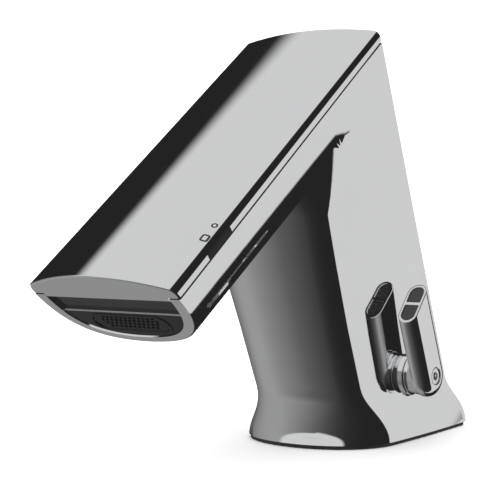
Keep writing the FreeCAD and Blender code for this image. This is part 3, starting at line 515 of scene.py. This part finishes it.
# ---- crown ---------------------------------------------------------------------
# The cover over the electronics: a broad shallow arc with tight rounded edges,
# cast, polished and chromed like the body, and clamped down by a screw at the back.
crown_half_width = 0.0280
crown_edge = 0.0028
crown_sides = (0.0018, 0.0013)
crown_arcs = (0.078, 0.150)
crown_corner = crown_half_width - crown_edge
seam_length = 0.1332


def crown_section(s):
    """The crown a distance up the seam: its side's height, its broad arc's radius, half angle and centre."""
    share = s / seam_length
    side = crown_sides[0] + (crown_sides[1] - crown_sides[0]) * share
    broad = 1.0 / ((1 - share) / crown_arcs[0] + share / crown_arcs[1])
    half_angle = np.arcsin(crown_corner / (broad - crown_edge))
    return side, broad, half_angle, side + crown_edge * np.cos(half_angle) - broad * np.cos(half_angle)


def crown_field(points):
    u, s, v = spout_coordinates(points).T
    side, broad, reach, centre_v = crown_section(s)
    u = np.abs(u)
    on_top = np.hypot(u, v - centre_v) - broad
    on_corner = np.hypot(u - crown_corner, v - side) - crown_edge
    on_side = u - crown_half_width
    return np.where(np.arctan2(u, v - centre_v) < reach, on_top, np.where(v > side, on_corner, on_side))


crown = smooth_copy("crown_cover", [crown_field])
dress(crown, chrome, seam_shadow)
crown.visible_glossy = False
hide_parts("crown_cover")
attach(crown, "tap_body")


# ---- crown marks -----------------------------------------------------------------
# A slot along the crown's lower edge, where a flat tool lifts it, is not cut: a thin
# black strip of painted shade stands in for the shade inside it. Beside it are a ring and a small window for
# the sensor's status, each a thin inlay in the chrome.
slot_ends = (0.0166, 0.0296)
slot_heights = (0.0003, 0.0018, 0.0027)
slot_steps, ring_steps, bend_steps = 12, 24, 4
ring_place, ring_radii = (0.0255, 0.0268), (0.00050, 0.00100)
pane_low, pane_high, pane_line, pane_round = (0.0243, 0.0196), (0.0268, 0.0226), 0.0006, 0.0007
inlay_lift = 0.00009


def to_world(u, s, v):
    """A place in the spout's frame as a point of the scene."""
    c, n = math.cos(seam_slope), math.sin(seam_slope)
    return spout_origin + Vector((u, c * s - n * v, n * s + c * v))


def side_point(s, v):
    """Point just outside the crown's side, at a height."""
    side = crown_section(s)[0]
    bend = math.sqrt(crown_edge**2 - (v - side)**2) if v >= side else crown_edge
    return to_world(crown_corner + bend + inlay_lift, s, v)


def top_point(u, s):
    """Point just outside the crown's top, at a place across it."""
    side, broad, reach, centre_v = crown_section(s)
    if u < crown_corner + crown_edge * math.sin(reach):
        return to_world(u, s, centre_v + math.sqrt(broad**2 - u**2) + inlay_lift)
    bend = math.sqrt(max(0.0, crown_edge**2 - (u - crown_corner)**2))
    return to_world(u, s, side + bend + inlay_lift)


def inlay(name, rows, material, closed=False):
    """Thin strip through rows of points, as one piece on the crown."""
    shell = bmesh.new()
    grid = [[shell.verts.new(point) for point in row] for row in rows]
    for one, two in zip(grid, grid[1:]):
        count = len(one)
        for k in range(count if closed else count - 1):
            shell.faces.new((one[k], one[(k + 1) % count], two[(k + 1) % count], two[k]))
    mesh = bpy.data.meshes.new(name)
    shell.to_mesh(mesh)
    shell.free()
    piece = bpy.data.objects.new(name, mesh)
    scene.collection.objects.link(piece)
    dress(piece, material)
    mesh.shade_smooth()
    piece.visible_glossy = False
    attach(piece, "tap_body")
    return piece


def rounded_outline(low, high, corner, inset):
    """Points round a rectangle with rounded corners."""
    points = []
    for number, (x, y) in enumerate(((1, 1), (0, 1), (0, 0), (1, 0))):
        middle = [(high if end else low)[axis] - (1 if end else -1) * corner
                  for axis, end in enumerate((x, y))]
        for step in range(bend_steps + 1):
            angle = math.radians(90 * (number + step / bend_steps))
            points.append((middle[0] + (corner - inset) * math.cos(angle),
                           middle[1] + (corner - inset) * math.sin(angle)))
    return points


ink = principled("dark_inlay", (0.010, 0.010, 0.011), 0.3, marks=(300.0, 1.2), colour_range=0.2)
# The slot's black is painted shade: a near-black strip with a weak reflection stands in for the dark inside
# of the notch.
painted_slot_shade = principled("painted_slot_shade", (0.010, 0.010, 0.011), 0.3, marks=(300.0, 1.2), colour_range=0.2,
                        Specular_IOR_Level=0.18)
inlay("lifting_slot", [[side_point(s, v) for s in np.linspace(*slot_ends, slot_steps + 1)]
                       for v in slot_heights], painted_slot_shade)
circle = [(math.cos(a), math.sin(a)) for a in np.linspace(0, 2 * math.pi, ring_steps, endpoint=False)]
inlay("status_ring", [[top_point(ring_place[0] + r * x, ring_place[1] + r * y) for x, y in circle]
                      for r in ring_radii[::-1]], ink, closed=True)
inlay("status_pane", [[top_point(*point)
                       for point in rounded_outline(pane_low, pane_high, pane_round, inset)]
                      for inset in (0.0, pane_line)], ink, closed=True)


# ---- spout end -----------------------------------------------------------------
# Behind the rim sit a dark infrared window and a black moulded panel with the spray
# outlet. The panel's top edge is a narrow ledge ahead of the window; a grey strip laid on its chamfer is a
# painted highlight.
window_black = principled("infrared_window", (0.010, 0.010, 0.011), 0.16, marks=(90.0, 1.4),
                          colour_range=0.2, Specular_IOR_Level=0.35)
panel_black = principled("black_moulding", (0.008, 0.008, 0.009), 0.34, marks=(120.0, 1.4),
                         colour_range=0.25, bump=0.00004, bump_size=1500.0, edge=0.0003,
                         Specular_IOR_Level=0.3)
dress(nodes["sensor_window"], window_black)
dress(nodes["outlet_panel"], panel_black)
dress(nodes["spray_plate"], panel_black)
dress(nodes["spray_chamber"], panel_black)
dress(nodes["sensor_module"], panel_black)
# Painted highlight: a grey, partly metallic strip over the black panel's top chamfer stands in for the light
# that edge catches.
ledge_highlight = principled("painted_ledge_highlight", (0.30, 0.30, 0.31), 0.35, metallic=0.6, marks=(200.0, 1.6))
ledge_facing = Vector((0.0, -0.99, -0.13)).normalized()
ledge_cosine = 0.995
ledge = nodes["outlet_panel"].data.copy()       # the chamfer along the panel's top edge, copied to carry the painted highlight
merge_corners(ledge)
shell = bmesh.new()
shell.from_mesh(ledge)
elsewhere = [face for face in shell.faces if face.normal.dot(ledge_facing) < ledge_cosine]
bmesh.ops.delete(shell, geom=elsewhere, context="FACES")
bmesh.ops.translate(shell, verts=shell.verts, vec=ledge_facing * inlay_lift)
shell.to_mesh(ledge)
shell.free()
panel_ledge = bpy.data.objects.new("panel_ledge", ledge)
scene.collection.objects.link(panel_ledge)
dress(panel_ledge, ledge_highlight)
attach(panel_ledge, "tap_body")


# ---- lever ---------------------------------------------------------------------
# A solid bar with half-round edges, cut off at a slope at its upper end, turned by
# a finger to set the mix. It is chromed, and held on its spindle by one screw.
lever_nodes = ("mixer_lever", "hub_collar", "hub_ring", "lever_screw")
insert_nodes = ("lever_insert_upper", "lever_insert_lower")
lever_chrome = principled("lever_chrome", (0.90, 0.905, 0.915), 0.06, edge=0.0007, **chrome_look)
for name in lever_nodes:
    dress(nodes[name], lever_chrome)
insert_black = principled("dark_insert", (0.03, 0.03, 0.032), 0.2, marks=(150.0, 1.4))
for name in insert_nodes:
    dress(nodes[name], insert_black)


# ---- seals and inner pieces ----------------------------------------------------
# Rubber under the foot and below the crown, and the sealed valve, sensor and mixing
# pieces inside, each in the plastic, steel, brass or ceramic that such a tap has.
rubber = principled("seal_rubber", (0.02, 0.02, 0.02), 0.6, marks=(200.0, 1.2), colour_range=0.2,
                    bump=0.00003, bump_size=2500.0)
pale = principled("pale_moulding", (0.72, 0.72, 0.69), 0.4, marks=(80.0, 1.2))
steel = principled("stainless", (0.62, 0.63, 0.64), 0.25, metallic=1.0, marks=(200.0, 1.5))
brass = principled("turned_brass", (0.72, 0.55, 0.26), 0.22, metallic=1.0, marks=(150.0, 1.5))
ceramic = principled("lapped_ceramic", (0.86, 0.86, 0.83), 0.12, marks=(50.0, 1.0), colour_range=0.02)
wrap = principled("battery_wrap", (0.10, 0.19, 0.15), 0.35, marks=(90.0, 1.3))
green = principled("coated_board", (0.03, 0.19, 0.09), 0.3, marks=(300.0, 1.6), colour_range=0.2)
finishes = {
    "base_gasket": rubber, "crown_gasket": rubber, "diaphragm": rubber,
    "outlet_tube": pale, "riser_tube": pale, "valve_body": pale, "solenoid_base": pale,
    "battery_bracket": pale, "cartridge_sleeve": pale, "check_valve_hot": pale,
    "check_valve_cold": pale, "check_poppet_hot": pale, "check_poppet_cold": pale,
    "solenoid_coil": panel_black, "solenoid_plunger": steel, "plunger_spring": steel,
    "poppet_spring_hot": steel, "poppet_spring_cold": steel, "inlet_filter_hot": steel,
    "inlet_filter_cold": steel, "crown_screw": steel, "mixing_spindle": brass,
    "fixed_disc": ceramic, "moving_disc": ceramic, "battery": wrap, "control_board": green}
for name, finish in finishes.items():
    dress(nodes[name], finish)
for name, node in nodes.items():
    if name not in lever_nodes + insert_nodes:
        node.visible_glossy = False     # only the lever is mirrored in the column's flat side
